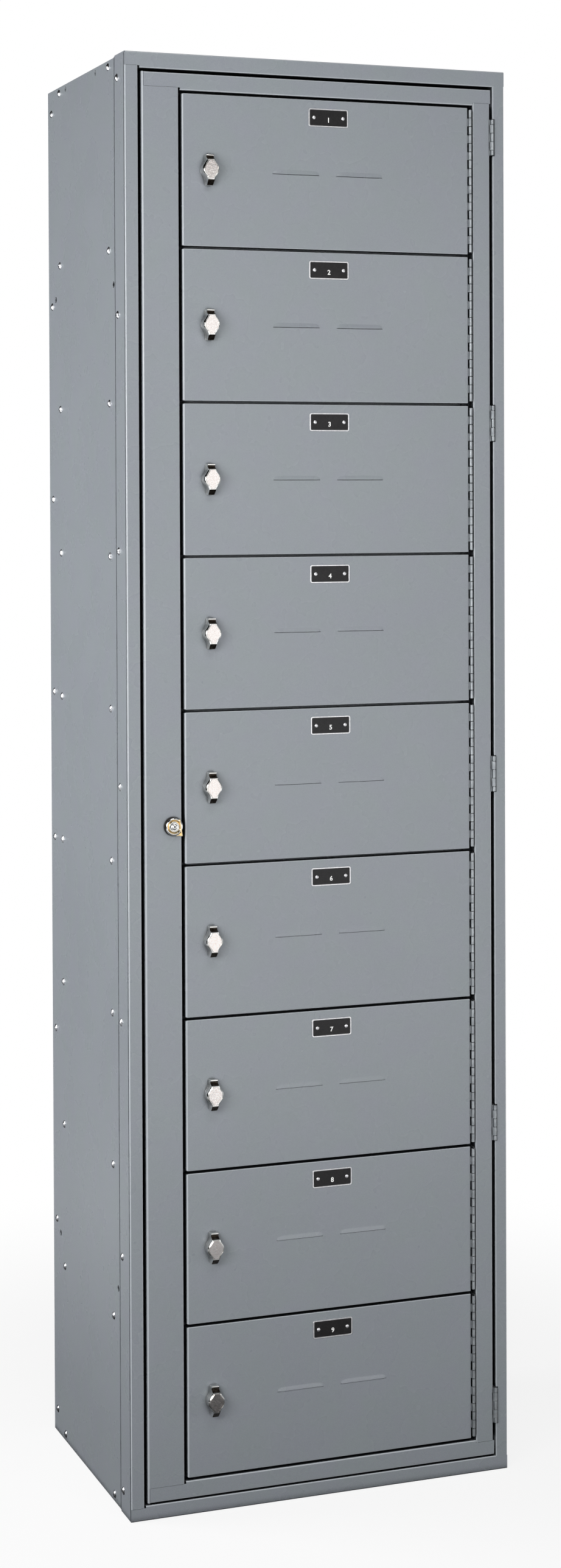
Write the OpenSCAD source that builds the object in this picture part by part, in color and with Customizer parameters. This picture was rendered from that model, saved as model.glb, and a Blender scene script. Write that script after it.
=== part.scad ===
// Nine-compartment steel locker. A lockable full-height master door carries nine small doors,
// each with its own turn handle, and swings clear so that every compartment can be filled at once.
// Origin: middle of the base, on the floor. +X right, +Y to the back, +Z up. Millimetres.

/* [Cabinet] */
// Width across the outer frame
body_w = 602; // [590:1:650]
// Depth from the front face to the back panel
body_d = 420; // [410:1:520]
// Height from the floor to the top of the frame
body_h = 2134; // [2110:1:2200]
// Sheet thickness of the side, back, top and bottom panels and the shelves
panel_t = 1.2; // [0.8:0.1:1.5]
// Sheet thickness of both frames and the small doors
frame_t = 1.5; // [1.2:0.1:1.8]
// Width of the flanges on the top, bottom and shelves
flange_w = 20; // [16:1:24]

/* [Outer frame] */
// Face width of the upright on the lock side
frame_lock_w = 20; // [18:1:30]
// Face width of the upright on the hinge side
frame_hinge_w = 19; // [18:1:30]
// Face height of the top member
frame_top_h = 23.5; // [20:0.5:40]
// Face height of the bottom member
frame_bottom_h = 22; // [20:0.5:30]
// How far the frame wraps back along the sides
frame_wrap = 50; // [46:1:56]
// Depth of the frame's inner return, which carries the door stop
jamb_d = 30; // [29:1:36]
// Width of the door stop behind the master door's edges
stop_w = 13; // [8:1:16]

/* [Master door] */
// Gap between the frame and the door on the lock side
gap_lock = 4.8; // [3:0.1:6]
// Gap between the frame and the door on the hinge side
gap_hinge = 4.7; // [4.5:0.1:6]
// Gap above the master door
gap_top = 4.5; // [3:0.1:6]
// Gap below the master door
gap_bottom = 2.5; // [2:0.1:6]
// Thickness of the door from its face to its rear flanges
master_d = 25; // [24:1:26]
// Face width of the lock stile
stile_lock_w = 56.7; // [50:0.1:80]
// Face width of the hinge stile
stile_hinge_w = 28.3; // [24:0.1:40]
// Face height of the top rail
rail_top_h = 25; // [20:1:40]
// Face height of the bottom rail
rail_bottom_h = 25.5; // [20:0.5:40]
// Height of the cross bars behind the gaps between small doors
bar_h = 28; // [20:1:36]

/* [Small doors] */
// Gap round each small door
door_gap = 4; // [3:0.5:5]
// Slot beside each small door that holds its continuous hinge
hinge_slot = 8.5; // [8.5:0.1:9]
// Thickness of a small door from its face to its rear edge
door_d = 16; // [14:1:16]
// Length of one louvre; each small door has two
louvre_w = 73; // [60:1:90]
// Height of one louvre
louvre_h = 11; // [8:1:14]
// How far a louvre stands out of the face
louvre_out = 4; // [3:0.5:5]

/* [Hinges] */
// Length of one knuckle of the continuous hinges
knuckle_l = 12.7; // [12:0.1:12.7]
// Outer radius of the continuous hinge's knuckles
knuckle_r = 2.9; // [2.7:0.1:2.9]
// Radius of the continuous hinge's pin
pin_r = 1.5; // [1.2:0.1:1.6]
// Height of each of the master door's five hinges
butt_h = 54; // [50:1:70]
// Outer radius of the master door hinges' knuckles
butt_r = 2.8; // [2.6:0.1:2.8]

/* [Handles and lock] */
// Height of a turn handle
handle_h = 45; // [40:1:56]
// Radius of the handle's round middle
handle_r = 12.5; // [11:0.5:14]
// How far the handle's face stands out of the door
handle_out = 17; // [15:1:22]
// Radius of the handle's shaft
shaft_r = 5; // [4:0.5:6]
// Reach of a small door's latch cam from the shaft
cam_reach = 41.5; // [38:0.5:46]
// Radius of the cylinder lock's bezel
lock_r = 14.5; // [12:0.5:16]
// Radius of the cylinder lock's turning plug
plug_r = 6.3; // [5:0.1:6.5]
// Height of the cylinder lock above the floor
lock_z = 1011; // [900:1:1100]
// Width of a number plate
plate_w = 62; // [50:1:70]
// Height of a number plate
plate_h = 26; // [20:1:30]

/* [Hidden] */
$fn = 48;
left = -body_w / 2;
right = body_w / 2;
front = -body_d / 2;
back = body_d / 2;
sheet_in = frame_t + panel_t;          // from the frame's outside to the side panels' inner face
play = 0.05;                           // radial clearance of every shaft and pin in its hole
seat = 0.05;                           // air between a head or nut and what it clamps

// Master door outline and the opening that the small doors fill
master_x0 = left + frame_lock_w + gap_lock;
master_x1 = right - frame_hinge_w - gap_hinge;
master_z0 = frame_bottom_h + gap_bottom;
master_z1 = body_h - frame_top_h - gap_top;
open_x0 = master_x0 + stile_lock_w;
open_x1 = master_x1 - stile_hinge_w;
open_z0 = master_z0 + rail_bottom_h;
open_z1 = master_z1 - rail_top_h;
rabbet_w = 12;                         // width of the stops behind the small doors' edges
rabbet_d = door_d + 2 + frame_t;       // depth of those stops' rear face

// Small doors
tiers = 9;                             // one small door per tier, as NODES lists them
door_x0 = open_x0 + door_gap;
door_x1 = open_x1 - hinge_slot;
tier_pitch = (open_z1 - open_z0 - door_gap) / tiers;
door_h = tier_pitch - door_gap;
function tier_z(k) = open_z1 - door_gap / 2 - tier_pitch * k;      // line between door k and k + 1
function door_z(k) = tier_z(k) + door_gap / 2 + door_h / 2;        // middle of door k
louvre_pitch = 101;                    // between the centres of the two louvres
louvre_mid = 0.5;                      // the louvres' middle, from the door's middle
louvre_top = louvre_h / 2;             // a louvre's upper edge, above its middle
louvre_lift = 4.5;                     // louvre middles, above the door's middle
louvre_arc_r = (louvre_w * louvre_w / 4 + louvre_out * louvre_out) / (2 * louvre_out);
handle_x = door_x0 + 41;
plate_drop = 26;                       // from a door's top edge to its number plate's middle
plate_x = (door_x0 + door_x1) / 2 + 1.8;
rivet_pitch = 46;
rivet_r = 1.6;

// Hinges
hinge_x = door_x1 + hinge_slot / 2;
hinge_y = front - 0.5;
leaf_t = 1;
leaf_d = 15;
knuckles = 17;
hinge_l = knuckle_l * knuckles;
knuckle_gap = 0.3;
butt_x = master_x1 + gap_hinge - 0.5;
butt_y = front - 1;
butt_pin_r = 1.4;
butt_leaf_t = 1.2;
butt_leaf_d = 20;
butt_knuckles = 5;
butt_end = 7.5;                        // length of a butt hinge's first and last knuckle
butt_mid = (butt_h - 2 * butt_end) / (butt_knuckles - 2);
butt_rise = body_h / 4;                // spacing of the three middle hinges
butt_top = 967;                        // end hinges, from the door's mid-height
butt_offsets = [-butt_top, -butt_rise, 0, butt_rise, butt_top];

// Lock
lock_x = master_x0 + 43.4;
lock_body_r = 8;
lock_out = 8;
lock_cam_reach = 43;
cam_w = 14;
cam_t = 2.5;
cam_y = front + rabbet_d + 1;
lock_cam_y = front + jamb_d + 2;

// Fasteners and holes of the side panels, as depth from the front face and height
bolt_r = 2.4;
bolt_head_r = 5.8;
bolt_head_h = 2.8;
nut_r = 4.6;
nut_h = 3.2;
bolt_tail = 1.5;
frame_bolt_y = front + 39;
shelf_bolt_y = [front + 88, front + 355];
back_bolt_y = back - 20;
frame_bolt_z = [for (k = [0:6]) 33.5 + (body_h - 67) / 6 * k];
back_bolt_pitch = 304.8;
back_bolt_z = concat([for (k = [0:3]) 37 + back_bolt_pitch * k],
                     [for (k = [0:3]) body_h - 37 - back_bolt_pitch * k]);
top_bolt_z = body_h - 10.5;
bottom_bolt_z = 11;
shelf_bolt_z = concat([bottom_bolt_z, top_bolt_z], [for (k = [1:tiers - 1]) tier_z(k)]);
gang_r = 4.8;
gang_y = [front + 65, front + 380];
gang_z = [324, 1802];
top_gang_r = 4;
top_gang_y = [front + 154, front + 318];
top_gang_z = body_h - 9;

// Shelves and panels
inner_x0 = left + sheet_in;
inner_x1 = right - sheet_in;
shelf_y0 = front + 52;
back_flange = 32;
shelf_y1 = back - back_flange - 1;
shelf_rise = flange_w / 2;             // the shelves' bolts sit half way down their flanges

steel = "#8f979c";
chrome = "#d8dadb";
zinc = "#b9bcbe";
black = "#141416";

// Block between two corners, given axis by axis
module span(x0, x1, y0, y1, z0, z1) {
    translate([x0, y0, z0]) cube([x1 - x0, y1 - y0, z1 - z0]);
}

// Rod along X, starting at x
module rod_x(x, y, z, r, h) {
    translate([x, y, z]) rotate([0, 90, 0]) cylinder(r = r, h = h);
}

// Rod along Y, starting at y
module rod_y(x, y, z, r, h, fn = $fn) {
    translate([x, y, z]) rotate([-90, 0, 0]) cylinder(r = r, h = h, $fn = fn);
}

// Rod along Z, starting at z
module rod_z(x, y, z, r, h) {
    translate([x, y, z]) cylinder(r = r, h = h);
}

// The same thing on the right side of the cabinet as on the left
module both_sides() {
    children();
    mirror([1, 0, 0]) children();
}

// ---- Outer frame ----

// Upright of folded sheet: side return, face, inner return and door stop.
// Drawn from its outer edge at x = 0 towards +X.
module frame_upright(face_w) {
    z0 = frame_bottom_h;
    z1 = body_h - frame_top_h;
    difference() {
        union() {
            span(0, frame_t, front, front + frame_wrap, z0, z1);
            span(0, face_w, front, front + frame_t, z0, z1);
            span(face_w - frame_t, face_w, front, front + jamb_d, z0, z1);
            span(face_w - frame_t, face_w + stop_w, front + jamb_d - frame_t, front + jamb_d, z0, z1);
        }
        for (z = frame_bolt_z) rod_x(-1, frame_bolt_y, z, bolt_r + play, frame_t + 2);
    }
}

module frame_upright_lock() {
    color(steel) translate([left, 0, 0]) frame_upright(frame_lock_w);
}

// The hinge side is notched where each butt hinge's barrel sits
module frame_upright_hinge() {
    notch_w = 3.6;
    notch_d = 5;
    color(steel) difference() {
        translate([right, 0, 0]) mirror([1, 0, 0]) frame_upright(frame_hinge_w);
        for (dz = butt_offsets) {
            z = body_h / 2 + dz;
            span(master_x1, master_x1 + gap_hinge + notch_w, front - 1, front + notch_d,
                 z - butt_h / 2 - 1, z + butt_h / 2 + 1);
        }
    }
}

// Member of the outer frame, drawn from its outer edge at z = 0 towards +Z.
// inset: how far the outer return stops short of the sides.
module frame_rail(face_h, inset) {
    stop_x0 = left + frame_lock_w + stop_w;
    stop_x1 = right - frame_hinge_w - stop_w;
    clear = sheet_in + 0.3;
    span(left, right, front, front + frame_t, 0, face_h);
    both_sides() span(left, left + frame_t, front, front + frame_wrap, 0, face_h);
    span(left + inset, right - inset, front, front + frame_wrap, 0, frame_t);
    span(left + clear, right - clear, front, front + jamb_d, face_h - frame_t, face_h);
    span(stop_x0, stop_x1, front + jamb_d - frame_t, front + jamb_d, face_h - frame_t, face_h + stop_w);
}

module frame_rails() {
    color(steel) {
        frame_rail(frame_bottom_h, sheet_in + 0.3);
        translate([0, 0, body_h]) mirror([0, 0, 1]) frame_rail(frame_top_h, 0);
    }
}

// ---- Cabinet shell ----

module side_panel() {
    difference() {
        span(left + frame_t, inner_x0, front + 5, back, 0, body_h - frame_t);
        for (z = frame_bolt_z) rod_x(left, frame_bolt_y, z, bolt_r + play, sheet_in + 1);
        for (z = shelf_bolt_z, y = shelf_bolt_y) rod_x(left, y, z, bolt_r + play, sheet_in + 1);
        for (z = back_bolt_z) rod_x(left, back_bolt_y, z, bolt_r + play, sheet_in + 1);
        for (z = gang_z, y = gang_y) rod_x(left, y, z, gang_r, sheet_in + 1);
        for (y = top_gang_y) rod_x(left, y, top_gang_z, top_gang_r, sheet_in + 1);
    }
}

module side_panel_left() {
    color(steel) side_panel();
}

module side_panel_right() {
    color(steel) mirror([1, 0, 0]) side_panel();
}

// Side flanges run forward inside the side panels, which are bolted to them
module back_panel() {
    z0 = panel_t;
    z1 = body_h - frame_t - panel_t;
    color(steel) difference() {
        union() {
            span(inner_x0, inner_x1, back - panel_t, back, z0, z1);
            both_sides() span(inner_x0, inner_x0 + panel_t, back - back_flange, back, z0, z1);
        }
        both_sides() for (z = back_bolt_z)
            rod_x(inner_x0 - 1, back_bolt_y, z, bolt_r + play, panel_t + 2);
    }
}

module top_panel() {
    z1 = body_h - frame_t;
    color(steel) difference() {
        union() {
            span(inner_x0, inner_x1, front + 3, back, z1 - panel_t, z1);
            both_sides() span(inner_x0, inner_x0 + panel_t, shelf_y0, shelf_y1,
                              z1 - panel_t - flange_w, z1);
        }
        both_sides() {
            for (y = shelf_bolt_y) rod_x(inner_x0 - 1, y, top_bolt_z, bolt_r + play, panel_t + 2);
            for (y = top_gang_y) rod_x(inner_x0 - 1, y, top_gang_z, top_gang_r, panel_t + 2);
        }
    }
}

module bottom_panel() {
    y0 = front + frame_wrap;
    z1 = panel_t + flange_w;
    color(steel) difference() {
        union() {
            span(inner_x0, inner_x1, y0, back, 0, panel_t);
            span(inner_x0, inner_x1, y0, y0 + panel_t, 0, z1);
            both_sides() span(inner_x0, inner_x0 + panel_t, y0, shelf_y1, 0, z1);
        }
        both_sides() for (y = shelf_bolt_y)
            rod_x(inner_x0 - 1, y, bottom_bolt_z, bolt_r + play, panel_t + 2);
    }
}

// Pan with all four flanges turned down; its top face is half a flange above the tier line
module shelf(k) {
    z1 = tier_z(k) + shelf_rise;
    z0 = z1 - flange_w;
    difference() {
        span(inner_x0, inner_x1, shelf_y0, shelf_y1, z0, z1);
        span(inner_x0 + panel_t, inner_x1 - panel_t, shelf_y0 + panel_t, shelf_y1 - panel_t,
             z0 - 1, z1 - panel_t);
        both_sides() for (y = shelf_bolt_y)
            rod_x(inner_x0 - 1, y, tier_z(k), bolt_r + play, panel_t + 2);
    }
}

module shelves() {
    color(steel) for (k = [1:tiers - 1]) shelf(k);
}

// ---- Case fasteners ----

// Round-head slotted bolt through the left side, with its head against the plane x
module case_bolt(x, y, z, grip) {
    dome_r = (bolt_head_r * bolt_head_r + bolt_head_h * bolt_head_h) / (2 * bolt_head_h);
    difference() {
        union() {
            intersection() {
                translate([x - bolt_head_h + dome_r, y, z]) sphere(r = dome_r);
                rod_x(x - bolt_head_h - 1, y, z, bolt_head_r, bolt_head_h + 1);
            }
            rod_x(x, y, z, bolt_r, grip + nut_h + bolt_tail);
        }
        span(x - bolt_head_h - 1, x - bolt_head_h + 1.2, y - bolt_head_r, y + bolt_head_r, z - 0.6, z + 0.6);
    }
}

module case_nut(x, y, z) {
    difference() {
        translate([x, y, z]) rotate([0, 90, 0]) cylinder(r = nut_r, h = nut_h, $fn = 6);
        rod_x(x - 1, y, z, bolt_r + play, nut_h + 2);
    }
}

module case_bolts() {
    color(zinc) both_sides() {
        for (z = frame_bolt_z) case_bolt(left, frame_bolt_y, z, sheet_in);
        for (z = shelf_bolt_z, y = shelf_bolt_y) case_bolt(left + frame_t, y, z, 2 * panel_t);
        for (z = back_bolt_z) case_bolt(left + frame_t, back_bolt_y, z, 2 * panel_t);
    }
}

module case_nuts() {
    color(zinc) both_sides() {
        for (z = frame_bolt_z) case_nut(inner_x0, frame_bolt_y, z);
        for (z = shelf_bolt_z, y = shelf_bolt_y) case_nut(inner_x0 + panel_t, y, z);
        for (z = back_bolt_z) case_nut(inner_x0 + panel_t, back_bolt_y, z);
    }
}

// ---- Master door ----

// Stile of folded sheet: outer return with a hem, face, inner return and the small doors' stop.
// Drawn from its outer edge at x = 0 towards +X.
module master_stile(face_w) {
    hem_w = 12;
    span(0, face_w, front, front + frame_t, open_z0, open_z1);
    span(0, frame_t, front, front + master_d, open_z0, open_z1);
    span(0, hem_w, front + master_d - frame_t, front + master_d, open_z0, open_z1);
    span(face_w - frame_t, face_w, front, front + rabbet_d, open_z0, open_z1);
    span(face_w - frame_t, face_w + rabbet_w, front + rabbet_d - frame_t, front + rabbet_d,
         open_z0, open_z1);
}

module master_stile_lock() {
    color(steel) difference() {
        translate([master_x0, 0, 0]) master_stile(stile_lock_w);
        rod_y(lock_x, front - 1, lock_z, lock_body_r + play, frame_t + 2);
    }
}

module master_stile_hinge() {
    color(steel) translate([master_x1, 0, 0]) mirror([1, 0, 0]) master_stile(stile_hinge_w);
}

// Rail from the door's outer edge at z = 0 towards +Z
module master_rail(face_h) {
    hem_h = 12;
    stop_x0 = open_x0 + rabbet_w;
    stop_x1 = open_x1 - rabbet_w;
    span(master_x0, master_x1, front, front + frame_t, 0, face_h);
    both_ends() span(master_x0, master_x0 + frame_t, front, front + master_d, 0, face_h);
    span(master_x0, master_x1, front, front + master_d, 0, frame_t);
    span(master_x0, master_x1, front + master_d - frame_t, front + master_d, 0, hem_h);
    span(master_x0, master_x1, front, front + rabbet_d, face_h - frame_t, face_h);
    span(stop_x0, stop_x1, front + rabbet_d - frame_t, front + rabbet_d, face_h - frame_t,
         face_h + rabbet_w);
}

// The same thing at both ends of the master door's rails
module both_ends() {
    children();
    translate([master_x0 + master_x1, 0, 0]) mirror([1, 0, 0]) children();
}

module master_rails() {
    color(steel) {
        translate([0, 0, master_z0]) master_rail(rail_bottom_h);
        translate([0, 0, master_z1]) mirror([0, 0, 1]) master_rail(rail_top_h);
    }
}

// Angle bars welded across the back of the stops, one behind each gap between small doors
module master_cross_bars() {
    x0 = open_x0 + 2;
    x1 = open_x1 - 2;
    y0 = front + rabbet_d;
    color(steel) for (k = [1:tiers - 1]) {
        z0 = tier_z(k) - bar_h / 2;
        span(x0, x1, y0, y0 + frame_t, z0, z0 + bar_h);
        span(x0, x1, y0, front + master_d, z0, z0 + frame_t);
    }
}

// ---- Master door hinges ----

// Where butt knuckle i starts, from the hinge's lower end, and how long it is
function butt_z(i) = i == 0 ? 0 : butt_end + butt_mid * (i - 1);
function butt_l(i) = i == 0 || i == butt_knuckles - 1 ? butt_end : butt_mid;

// One leaf with its knuckles, on the side of the pin given by side (-1 left, 1 right).
// first: index of its first knuckle. reach: from the pin to the leaf's outer face.
module butt_leaf(side, first, reach) {
    gap = 0.3;
    web = 0.6;
    x0 = side < 0 ? -reach : reach - butt_leaf_t;
    difference() {
        union() {
            span(x0, x0 + butt_leaf_t, -web, butt_leaf_d, -butt_h / 2, butt_h / 2);
            for (i = [first:2:butt_knuckles - 1]) {
                z = -butt_h / 2 + butt_z(i) + gap / 2;
                rod_z(0, 0, z, butt_r, butt_l(i) - gap);
                span(min(0, side * reach), max(0, side * reach), -web, web, z, z + butt_l(i) - gap);
            }
        }
        rod_z(0, 0, -butt_h / 2 - 1, butt_pin_r + play, butt_h + 2);
        for (i = [1 - first:2:butt_knuckles - 1])
            rod_z(0, 0, -butt_h / 2 + butt_z(i) - gap / 2, butt_r + 0.4, butt_l(i) + gap);
    }
}

module at_butt_hinges() {
    for (dz = butt_offsets) translate([butt_x, butt_y, body_h / 2 + dz]) children();
}

module frame_hinge_leaves() {
    color(steel) at_butt_hinges() butt_leaf(1, 0, master_x1 + gap_hinge - butt_x);
}

module master_hinge_leaves() {
    color(steel) at_butt_hinges() butt_leaf(-1, 1, butt_x - master_x1);
}

module master_hinge_pins() {
    color(zinc) at_butt_hinges() rod_z(0, 0, -butt_h / 2, butt_pin_r, butt_h);
}

// ---- Small door hinges ----

// One leaf of a continuous hinge, centred on its pin; arguments as for butt_leaf
module piano_leaf(side, first) {
    reach = hinge_slot / 2;
    web = 0.6;
    x0 = side < 0 ? -reach : reach - leaf_t;
    difference() {
        union() {
            span(x0, x0 + leaf_t, -web, leaf_d, -hinge_l / 2, hinge_l / 2);
            for (i = [first:2:knuckles - 1]) {
                z = -hinge_l / 2 + knuckle_l * i + knuckle_gap / 2;
                rod_z(0, 0, z, knuckle_r, knuckle_l - knuckle_gap);
                span(min(0, side * reach), max(0, side * reach), -web, web,
                     z, z + knuckle_l - knuckle_gap);
            }
        }
        rod_z(0, 0, -hinge_l / 2 - 1, pin_r + play, hinge_l + 2);
    }
}

module at_door_hinge(k) {
    translate([hinge_x, hinge_y, door_z(k)]) children();
}

module piano_hinge_leaves() {
    color(steel) for (k = [1:tiers]) at_door_hinge(k) piano_leaf(1, 0);
}

module piano_hinge_pins() {
    color(zinc) for (k = [1:tiers]) at_door_hinge(k) rod_z(0, 0, -hinge_l / 2, pin_r, hinge_l);
}

module hinge_leaf(k) {
    color(steel) at_door_hinge(k) piano_leaf(-1, 1);
}

// ---- Small doors ----

// What a profile in (y, z) sweeps along X, cut to the louvre's bowed front edge less a wall
module louvre_solid(profile, wall) {
    intersection() {
        rotate([90, 0, 90]) translate([0, 0, -louvre_w / 2]) linear_extrude(louvre_w)
            polygon(profile);
        rod_z(0, louvre_arc_r - louvre_out, -louvre_h, louvre_arc_r - wall, 2 * louvre_h);
    }
}

// Pressed louvre on the plane y = 0, standing out towards -Y
module louvre() {
    slope_out = louvre_out + 0.6;
    louvre_solid([[0, louvre_top], [-slope_out, -louvre_top], [0, -louvre_top]], 0);
}

// Hollow of a louvre, open along its lower edge, with the slot through the sheet behind it
module louvre_hollow() {
    wall = 1;
    skin = 0.2;
    lip = 0.3;
    top = louvre_top - 1.8;
    low = -louvre_top;
    slot_w = louvre_w - 14;
    louvre_solid([[0.5, top], [wall - louvre_out, low], [wall - louvre_out, low - 1],
                  [-skin, low - 1], [-skin, low + lip], [0.5, low + lip]], wall);
    span(-slot_w / 2, slot_w / 2, 0.25, frame_t + 1, low + 2 * lip, top - lip);
}

module at_louvres(k) {
    mid = (door_x0 + door_x1) / 2 + louvre_mid;
    for (s = [-1, 1]) translate([mid + s * louvre_pitch / 2, front, door_z(k) + louvre_lift]) children();
}

// Folded pan with its louvres, handle hole and rivet holes
module door(k) {
    z0 = door_z(k) - door_h / 2;
    z1 = z0 + door_h;
    plate_z = z1 - plate_drop;
    color(steel) difference() {
        union() {
            difference() {
                span(door_x0, door_x1, front, front + door_d, z0, z1);
                span(door_x0 + frame_t, door_x1 - frame_t, front + frame_t, front + door_d + 1,
                     z0 + frame_t, z1 - frame_t);
            }
            at_louvres(k) louvre();
        }
        at_louvres(k) louvre_hollow();
        rod_y(handle_x, front - 1, door_z(k), shaft_r + play, frame_t + 2);
        for (s = [-1, 1])
            rod_y(plate_x + s * rivet_pitch / 2, front - 1, plate_z,
                  rivet_r + play, frame_t + 2);
    }
}

// ---- Turn handles ----

// Outline of the handle seen from the front: a round middle that tapers to a lug at each end
module handle_outline() {
    lug_w = 5.8;
    shoulder = handle_r - 1;
    circle(r = handle_r);
    polygon([[-lug_w, -handle_h / 2], [lug_w, -handle_h / 2], [shoulder, -6], [shoulder, 6],
             [lug_w, handle_h / 2], [-lug_w, handle_h / 2], [-shoulder, 6], [-shoulder, -6]]);
}

// Knob and shaft, the latch cam on its square seat and the nut that holds it.
// The cam hangs straight down when the handle is upright, clear of the stop.
module turn_handle(k) {
    lug_out = handle_out - 6;
    face_h = handle_h * 0.56;
    scoop_r = 4.4;
    tail = cam_y + cam_t + nut_h + 1 - front;
    translate([handle_x, 0, door_z(k)]) {
        color(chrome) difference() {
            union() {
                translate([0, front - 0.3, 0]) rotate([90, 0, 0])
                    linear_extrude(lug_out) handle_outline();
                intersection() {
                    translate([0, front - 0.3, 0]) rotate([90, 0, 0])
                        linear_extrude(handle_out) handle_outline();
                    span(-handle_r, handle_r, front - handle_out - 1, front,
                         -face_h / 2, face_h / 2);
                }
                rod_y(0, front - 1, 0, shaft_r, tail + 1);
            }
            rod_x(-handle_r, front - lug_out - 1, face_h / 2 + 3, scoop_r, 2 * handle_r);
            rod_x(-handle_r, front - lug_out - 3, -face_h / 2 - 8, 2 * scoop_r, 2 * handle_r);
        }
        color(zinc) difference() {
            span(-cam_w / 2, cam_w / 2, cam_y, cam_y + cam_t, -cam_reach, cam_w / 2);
            rod_y(0, cam_y - 1, 0, shaft_r + play, cam_t + 2);
        }
        color(zinc) difference() {
            rod_y(0, cam_y + cam_t + seat, 0, 1.7 * shaft_r, nut_h, 6);
            rod_y(0, cam_y, 0, shaft_r + play, nut_h + cam_t + 1);
        }
    }
}

// ---- Number plates ----

// Plate with round corners, held by two rivets through the door
module number_plate(k) {
    corner = 2;
    t = 1.2;
    head_h = 1.4;
    head_r = 3;
    dome_r = (head_r * head_r + head_h * head_h) / (2 * head_h);
    translate([plate_x, front, door_z(k) + door_h / 2 - plate_drop]) {
        color(black) difference() {
            rotate([90, 0, 0]) linear_extrude(t) {
                square([plate_w - 2 * corner, plate_h], center = true);
                square([plate_w, plate_h - 2 * corner], center = true);
                for (sx = [-1, 1], sz = [-1, 1])
                    translate([sx * (plate_w / 2 - corner), sz * (plate_h / 2 - corner)])
                        circle(r = corner);
            }
            for (s = [-1, 1]) rod_y(s * rivet_pitch / 2, -t - 1, 0, rivet_r + play, t + 2);
        }
        color(chrome) for (s = [-1, 1]) translate([s * rivet_pitch / 2, 0, 0]) {
            intersection() {
                translate([0, -t - seat - head_h + dome_r, 0]) sphere(r = dome_r);
                rod_y(0, -t - seat - head_h - 1, 0, head_r, head_h + 1);
            }
            rod_y(0, -t - seat, 0, rivet_r, t + frame_t + 1);
            rod_y(0, frame_t + seat, 0, 1.6 * rivet_r, 1);
        }
    }
}

// ---- Cylinder lock of the master door ----

// Domed bezel and threaded barrel in one, and the nut behind the stile's face
module lock_housing() {
    barrel_l = jamb_d - 4;
    nut_corner = 10.6;
    translate([lock_x, 0, lock_z]) {
        color(chrome) difference() {
            union() {
                translate([0, front, 0]) rotate([90, 0, 0]) rotate_extrude()
                    polygon([[0, 0], [lock_r, 0], [lock_r, 1.5], [lock_r - 1.5, 4.5],
                             [lock_r - 5, lock_out], [0, lock_out]]);
                rod_y(0, front - 1, 0, lock_body_r, barrel_l + 1);
            }
            rod_y(0, front - lock_out - 1, 0, plug_r + play, barrel_l + lock_out + 2);
        }
        color(zinc) difference() {
            rod_y(0, front + frame_t, 0, nut_corner, 4, 6);
            rod_y(0, front, 0, lock_body_r + play, 8);
        }
    }
}

// Turning plug with its keyway
module lock_plug() {
    plug_out = lock_out + 1;
    keyway_w = 1.6;
    keyway_h = 7.5;
    color(chrome) translate([lock_x, 0, lock_z]) difference() {
        rod_y(0, front - plug_out, 0, plug_r, lock_cam_y - front + plug_out);
        span(-keyway_w / 2, keyway_w / 2, front - plug_out - 1, front + 8,
             -keyway_h / 2, keyway_h / 2);
    }
}

// Cam and the screw that holds it; the cam hangs straight down when the door is free to open
module lock_cam() {
    screw_r = 2.5;
    head_r = 4.5;
    head_h = 3;
    color(zinc) translate([lock_x, 0, lock_z]) {
        difference() {
            span(-cam_w / 2, cam_w / 2, lock_cam_y, lock_cam_y + cam_t, -lock_cam_reach, cam_w / 2);
            rod_y(0, lock_cam_y - 1, 0, screw_r + play, cam_t + 2);
        }
        rod_y(0, lock_cam_y, 0, screw_r, cam_t + seat);
        rod_y(0, lock_cam_y + cam_t + seat, 0, head_r, head_h);
    }
}

frame_upright_lock();
frame_upright_hinge();
frame_rails();
side_panel_left();
side_panel_right();
back_panel();
top_panel();
bottom_panel();
shelves();
case_bolts();
case_nuts();
frame_hinge_leaves();
master_stile_lock();
master_stile_hinge();
master_rails();
master_cross_bars();
master_hinge_leaves();
master_hinge_pins();
piano_hinge_leaves();
piano_hinge_pins();
lock_housing();
lock_plug();
lock_cam();
for (k = [1:tiers]) {
    door(k);
    hinge_leaf(k);
    turn_handle(k);
    number_plate(k);
}
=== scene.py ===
import math
import random

import bmesh
import bpy
from mathutils import Matrix, Vector


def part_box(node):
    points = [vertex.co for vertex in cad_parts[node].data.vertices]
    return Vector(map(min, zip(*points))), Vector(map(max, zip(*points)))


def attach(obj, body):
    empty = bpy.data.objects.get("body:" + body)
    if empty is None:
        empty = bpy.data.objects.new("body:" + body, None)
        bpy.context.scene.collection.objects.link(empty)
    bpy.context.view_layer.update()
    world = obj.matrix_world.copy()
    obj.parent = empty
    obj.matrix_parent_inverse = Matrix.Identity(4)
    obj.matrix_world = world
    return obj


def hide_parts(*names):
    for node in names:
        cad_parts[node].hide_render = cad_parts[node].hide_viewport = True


# The looks of a nine-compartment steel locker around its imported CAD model. Lengths are in
# millimetres, in the CAD frame, and become metres where a mesh is made. Lights and the camera
# are placed in metres.

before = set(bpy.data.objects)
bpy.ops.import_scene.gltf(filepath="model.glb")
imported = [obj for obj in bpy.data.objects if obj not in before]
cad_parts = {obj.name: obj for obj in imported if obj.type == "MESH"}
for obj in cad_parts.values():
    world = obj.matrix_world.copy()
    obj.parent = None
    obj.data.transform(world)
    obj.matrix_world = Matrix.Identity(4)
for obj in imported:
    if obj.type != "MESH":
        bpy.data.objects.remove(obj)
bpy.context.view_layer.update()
scene = bpy.context.scene
MM = 0.001


def sizes(node):
    """x0, y0, z0, x1, y1, z1 of a CAD node in millimetres."""
    low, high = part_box(node)
    return [round(v / MM, 3) for v in (*low, *high)]


def centre(node):
    """Middle of a CAD node's box in millimetres."""
    x0, y0, z0, x1, y1, z1 = sizes(node)
    return (x0 + x1) / 2, (y0 + y1) / 2, (z0 + z1) / 2


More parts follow.
